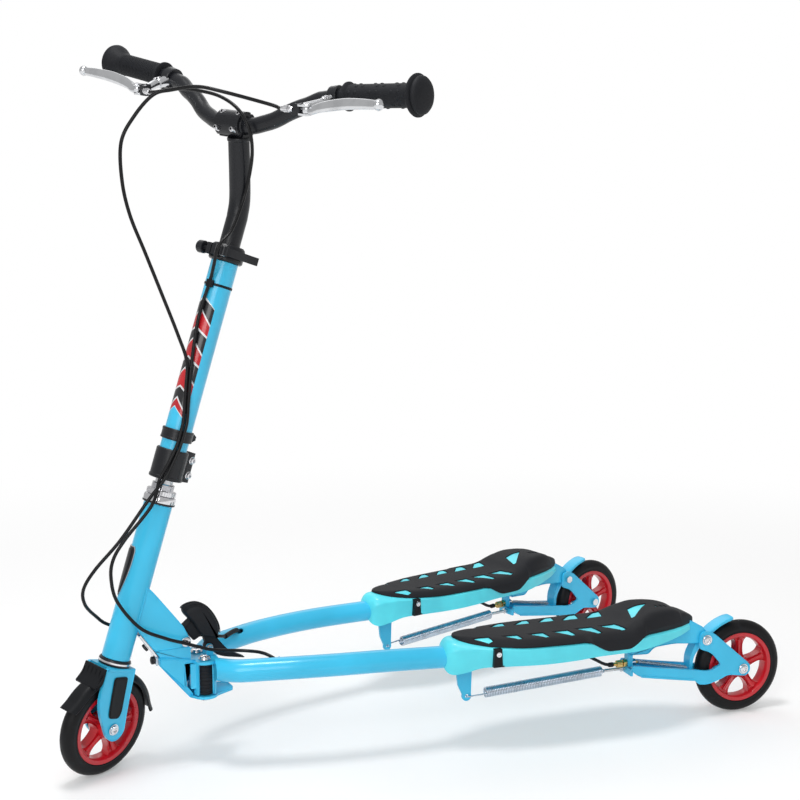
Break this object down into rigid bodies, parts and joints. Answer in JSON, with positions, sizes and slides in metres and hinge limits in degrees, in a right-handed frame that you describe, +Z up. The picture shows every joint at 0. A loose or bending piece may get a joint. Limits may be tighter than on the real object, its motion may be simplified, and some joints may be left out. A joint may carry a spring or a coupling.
{
  "type": "three-wheel scissor scooter",
  "caption": "Stand-on scooter with a steered front wheel and sprung rear arms that swing apart under footboards, with hand brakes, folding stem and height-set bar.",
  "frame": {"origin": "on the floor, under the middle of the scooter's bounding box", "axes": "+Z up, -Y forward in the riding direction, +X towards the rider's left"},
  "size_m": [0.5441, 1.0824, 1.0212],
  "materials": {
    "blue_paint": "glossy sky-blue paint on steel",
    "shell_plastic": "semi-gloss light-blue moulded plastic",
    "black_metal": "satin black powder coat",
    "black_alloy": "satin black coat on cast alloy",
    "polished_alloy": "polished cast alloy",
    "black_plastic": "matte black moulded plastic",
    "black_rubber": "matte black rubber",
    "tyre": "smooth black polyurethane tread",
    "red_plastic": "glossy red moulded plastic",
    "bright_steel": "polished plated steel",
    "brass": "bright brass"
  },
  "bodies": {
    "pivot_bracket": {"pivot_bracket": "blue_paint", "fold_pin": "bright_steel", "latch_plate": "bright_steel", "pedal_pin": "bright_steel", "left_pivot_bolt": "bright_steel", "right_pivot_bolt": "bright_steel", "left_brake_cable": "black_rubber", "right_brake_cable": "black_rubber"},
    "front_frame": {"front_frame": "blue_paint", "lower_headset": "bright_steel", "upper_headset": "bright_steel"},
    "fold_pedal": {"fold_pedal": "black_plastic"},
    "steering": {"fork": "blue_paint", "front_fender": "black_plastic", "front_axle": "bright_steel", "lock_ring": "bright_steel", "stem_clamp": "black_alloy", "stem_tube": "blue_paint", "ring_clamp": "black_alloy", "seat_collar": "black_alloy"},
    "quick_release": {"quick_release": "black_alloy"},
    "front_wheel": {"front_tyre": "tyre", "front_rim": "red_plastic"},
    "handlebar": {"handle_post": "black_metal", "bar_clamp": "black_alloy", "handlebar": "black_metal", "left_grip": "black_rubber", "right_grip": "black_rubber", "left_lever_bracket": "black_alloy", "right_lever_bracket": "black_alloy"},
    "left_brake_lever": {"left_brake_lever": "polished_alloy"},
    "left_arm": {"left_arm": "blue_paint", "left_pivot_bush": "black_rubber", "left_deck_shell": "shell_plastic", "left_deck_pad": "black_rubber", "left_cable_adjuster": "brass", "left_suspension_bolt": "bright_steel", "left_spring": "bright_steel", "left_return_spring": "bright_steel"},
    "left_swing_arm": {"left_swing_arm": "blue_paint", "left_eye_bolt": "bright_steel", "left_axle": "bright_steel"},
    "left_brake_arm": {"left_brake_arm": "blue_paint"},
    "left_wheel": {"left_tyre": "tyre", "left_rim": "red_plastic"},
    "right_brake_lever": {"right_brake_lever": "polished_alloy"},
    "right_arm": {"right_arm": "blue_paint", "right_pivot_bush": "black_rubber", "right_deck_shell": "shell_plastic", "right_deck_pad": "black_rubber", "right_cable_adjuster": "brass", "right_suspension_bolt": "bright_steel", "right_spring": "bright_steel", "right_return_spring": "bright_steel"},
    "right_swing_arm": {"right_swing_arm": "blue_paint", "right_eye_bolt": "bright_steel", "right_axle": "bright_steel"},
    "right_brake_arm": {"right_brake_arm": "blue_paint"},
    "right_wheel": {"right_tyre": "tyre", "right_rim": "red_plastic"}
  },
  "joints": [
    {"name": "stem_fold", "type": "hinge", "parent": "pivot_bracket", "child": "front_frame", "pos_m": [-0.012, -0.359, 0.18], "axis": [-1, 0, 0], "range_deg": [0, 60], "deforming": ["left_brake_cable", "right_brake_cable"]},
    {"name": "fold_pedal_hinge", "type": "hinge", "parent": "pivot_bracket", "child": "fold_pedal", "pos_m": [-0.012, -0.3215, 0.164], "axis": [-1, 0, 0], "range_deg": [0, 38]},
    {"name": "steering_turn", "type": "hinge", "parent": "front_frame", "child": "steering", "pos_m": [-0.012, -0.507, 0], "axis": [0, 0.3012, 0.9536], "range_deg": [-86.9, 33.1], "deforming": ["left_brake_cable", "right_brake_cable"]},
    {"name": "front_wheel_spin", "type": "hinge", "parent": "steering", "child": "front_wheel", "pos_m": [-0.01729, -0.47333, 0.07193], "axis": [0.892, 0.4311, -0.1362], "continuous": true},
    {"name": "quick_release_turn", "type": "hinge", "parent": "steering", "child": "quick_release", "pos_m": [0.01671, -0.29509, 0.72305], "axis": [0, -0.3012, -0.9536], "range_deg": [0, 95]},
    {"name": "bar_height", "type": "slide", "parent": "steering", "child": "handlebar", "axis": [0, 0.3012, 0.9536], "range_m": [-0.01, 0.15], "deforming": ["left_brake_cable", "right_brake_cable"]},
    {"name": "left_lever_pull", "type": "hinge", "parent": "handlebar", "child": "left_brake_lever", "pos_m": [0.16131, -0.23218, 0.90369], "axis": [0.2188, -0.1481, 0.9645], "range_deg": [0, 16], "stiffness_Nm_per_rad": 1.2, "springref_deg": -14.32},
    {"name": "left_arm_swing", "type": "hinge", "parent": "pivot_bracket", "child": "left_arm", "pos_m": [0.0065, -0.3323, 0.1245], "axis": [0, 0, -1], "range_deg": [-7, 12], "deforming": ["left_brake_cable"]},
    {"name": "left_suspension", "type": "hinge", "parent": "left_arm", "child": "left_swing_arm", "pos_m": [0.1821, 0.40693, 0.125], "axis": [0.9877, -0.1564, 0], "range_deg": [0, 8], "stiffness_Nm_per_rad": 100, "springref_deg": -2.29, "deforming": ["left_spring", "left_return_spring", "left_brake_cable"]},
    {"name": "left_brake_pull", "type": "hinge", "parent": "left_swing_arm", "child": "left_brake_arm", "pos_m": [0.1821, 0.40693, 0.125], "axis": [-0.9877, 0.1564, 0], "range_deg": [0, 3], "deforming": ["left_return_spring"]},
    {"name": "left_wheel_spin", "type": "hinge", "parent": "left_swing_arm", "child": "left_wheel", "pos_m": [0.19226, 0.47103, 0.0725], "axis": [0.9877, -0.1564, 0], "continuous": true},
    {"name": "right_lever_pull", "type": "hinge", "parent": "handlebar", "child": "right_brake_lever", "pos_m": [-0.12055, -0.36841, 0.94672], "axis": [-0.2188, 0.1481, -0.9645], "range_deg": [0, 16], "stiffness_Nm_per_rad": 1.2, "springref_deg": -14.32},
    {"name": "right_arm_swing", "type": "hinge", "parent": "pivot_bracket", "child": "right_arm", "pos_m": [-0.0305, -0.3323, 0.1245], "axis": [0, 0, 1], "range_deg": [-7, 12], "deforming": ["right_brake_cable"]},
    {"name": "right_suspension", "type": "hinge", "parent": "right_arm", "child": "right_swing_arm", "pos_m": [-0.2061, 0.40693, 0.125], "axis": [0.9877, 0.1564, 0], "range_deg": [0, 8], "stiffness_Nm_per_rad": 100, "springref_deg": -2.29, "deforming": ["right_spring", "right_return_spring", "right_brake_cable"]},
    {"name": "right_brake_pull", "type": "hinge", "parent": "right_swing_arm", "child": "right_brake_arm", "pos_m": [-0.2061, 0.40693, 0.125], "axis": [-0.9877, -0.1564, 0], "range_deg": [0, 3], "deforming": ["right_return_spring"]},
    {"name": "right_wheel_spin", "type": "hinge", "parent": "right_swing_arm", "child": "right_wheel", "pos_m": [-0.21626, 0.47103, 0.0725], "axis": [0.9877, 0.1564, 0], "continuous": true}
  ],
  "couplings": [
    {"joint": "fold_pedal_hinge", "follows": "stem_fold", "ratio": 0.63},
    {"joint": "left_brake_pull", "follows": "left_lever_pull", "ratio": 0.1875},
    {"joint": "right_brake_pull", "follows": "right_lever_pull", "ratio": 0.1875}
  ]
}
